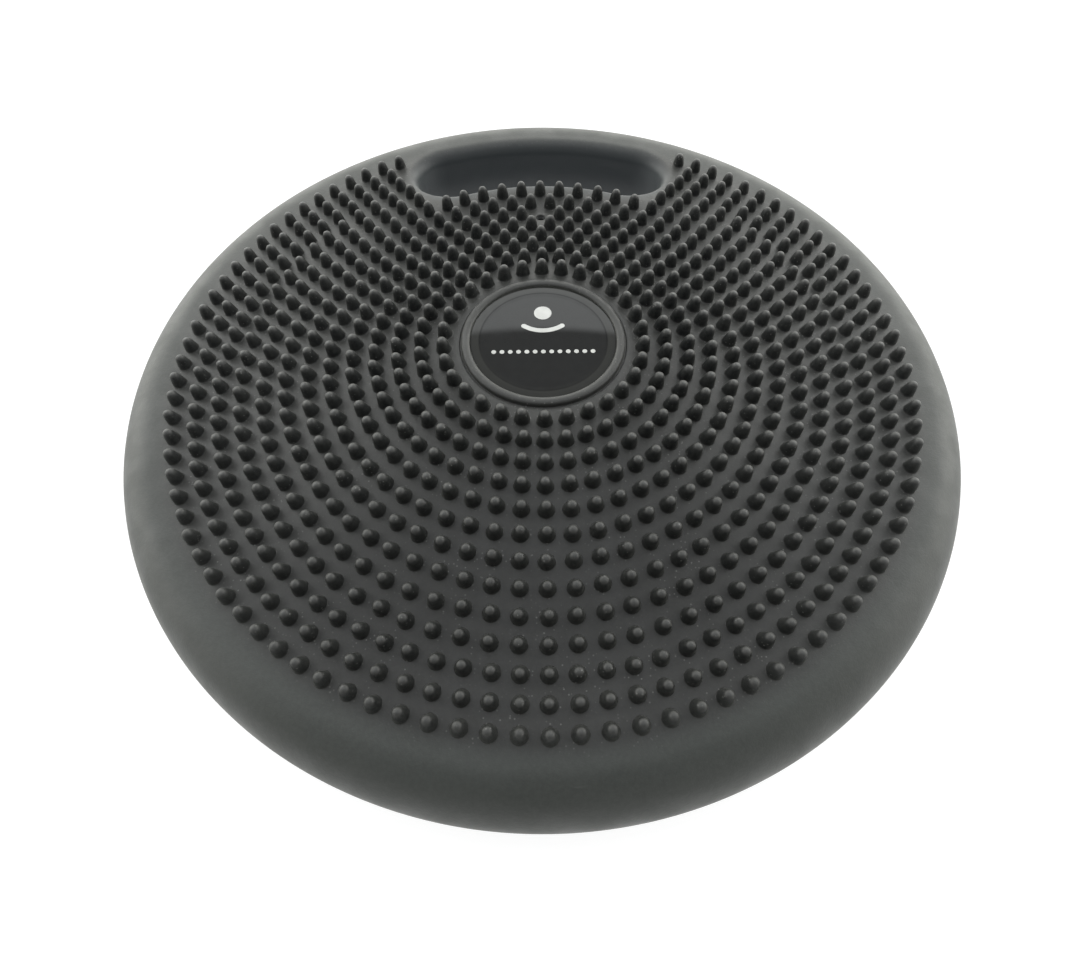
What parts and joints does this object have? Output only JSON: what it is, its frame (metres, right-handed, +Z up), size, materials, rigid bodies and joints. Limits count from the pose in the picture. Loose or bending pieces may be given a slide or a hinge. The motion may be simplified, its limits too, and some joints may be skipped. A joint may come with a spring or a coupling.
{
  "type": "wobble cushion",
  "caption": "Round inflatable balance cushion with concentric massage nubs on top, a curved carry slot, a needle valve and a round resin badge.",
  "frame": {"origin": "on the resting plane, under the centre of the disc", "axes": "+Z up, out of the nubbed face; +Y towards the carry slot; +X to the right seen from the front"},
  "size_m": [0.33, 0.3298, 0.0591],
  "materials": {
    "skin": "matte",
    "valve": "matte",
    "adhesive": "matte",
    "badge_black": "gloss",
    "badge_white": "gloss",
    "resin": "gloss"
  },
  "bodies": {
    "root": {"bladder": "skin", "massage_nubs": "skin", "base_bumps": "skin", "valve_housing": "valve", "valve_core": "valve", "badge_adhesive": "adhesive", "badge_film": "badge_black", "badge_print": "badge_white", "badge_dome": "resin"}
  },
  "joints": []
}
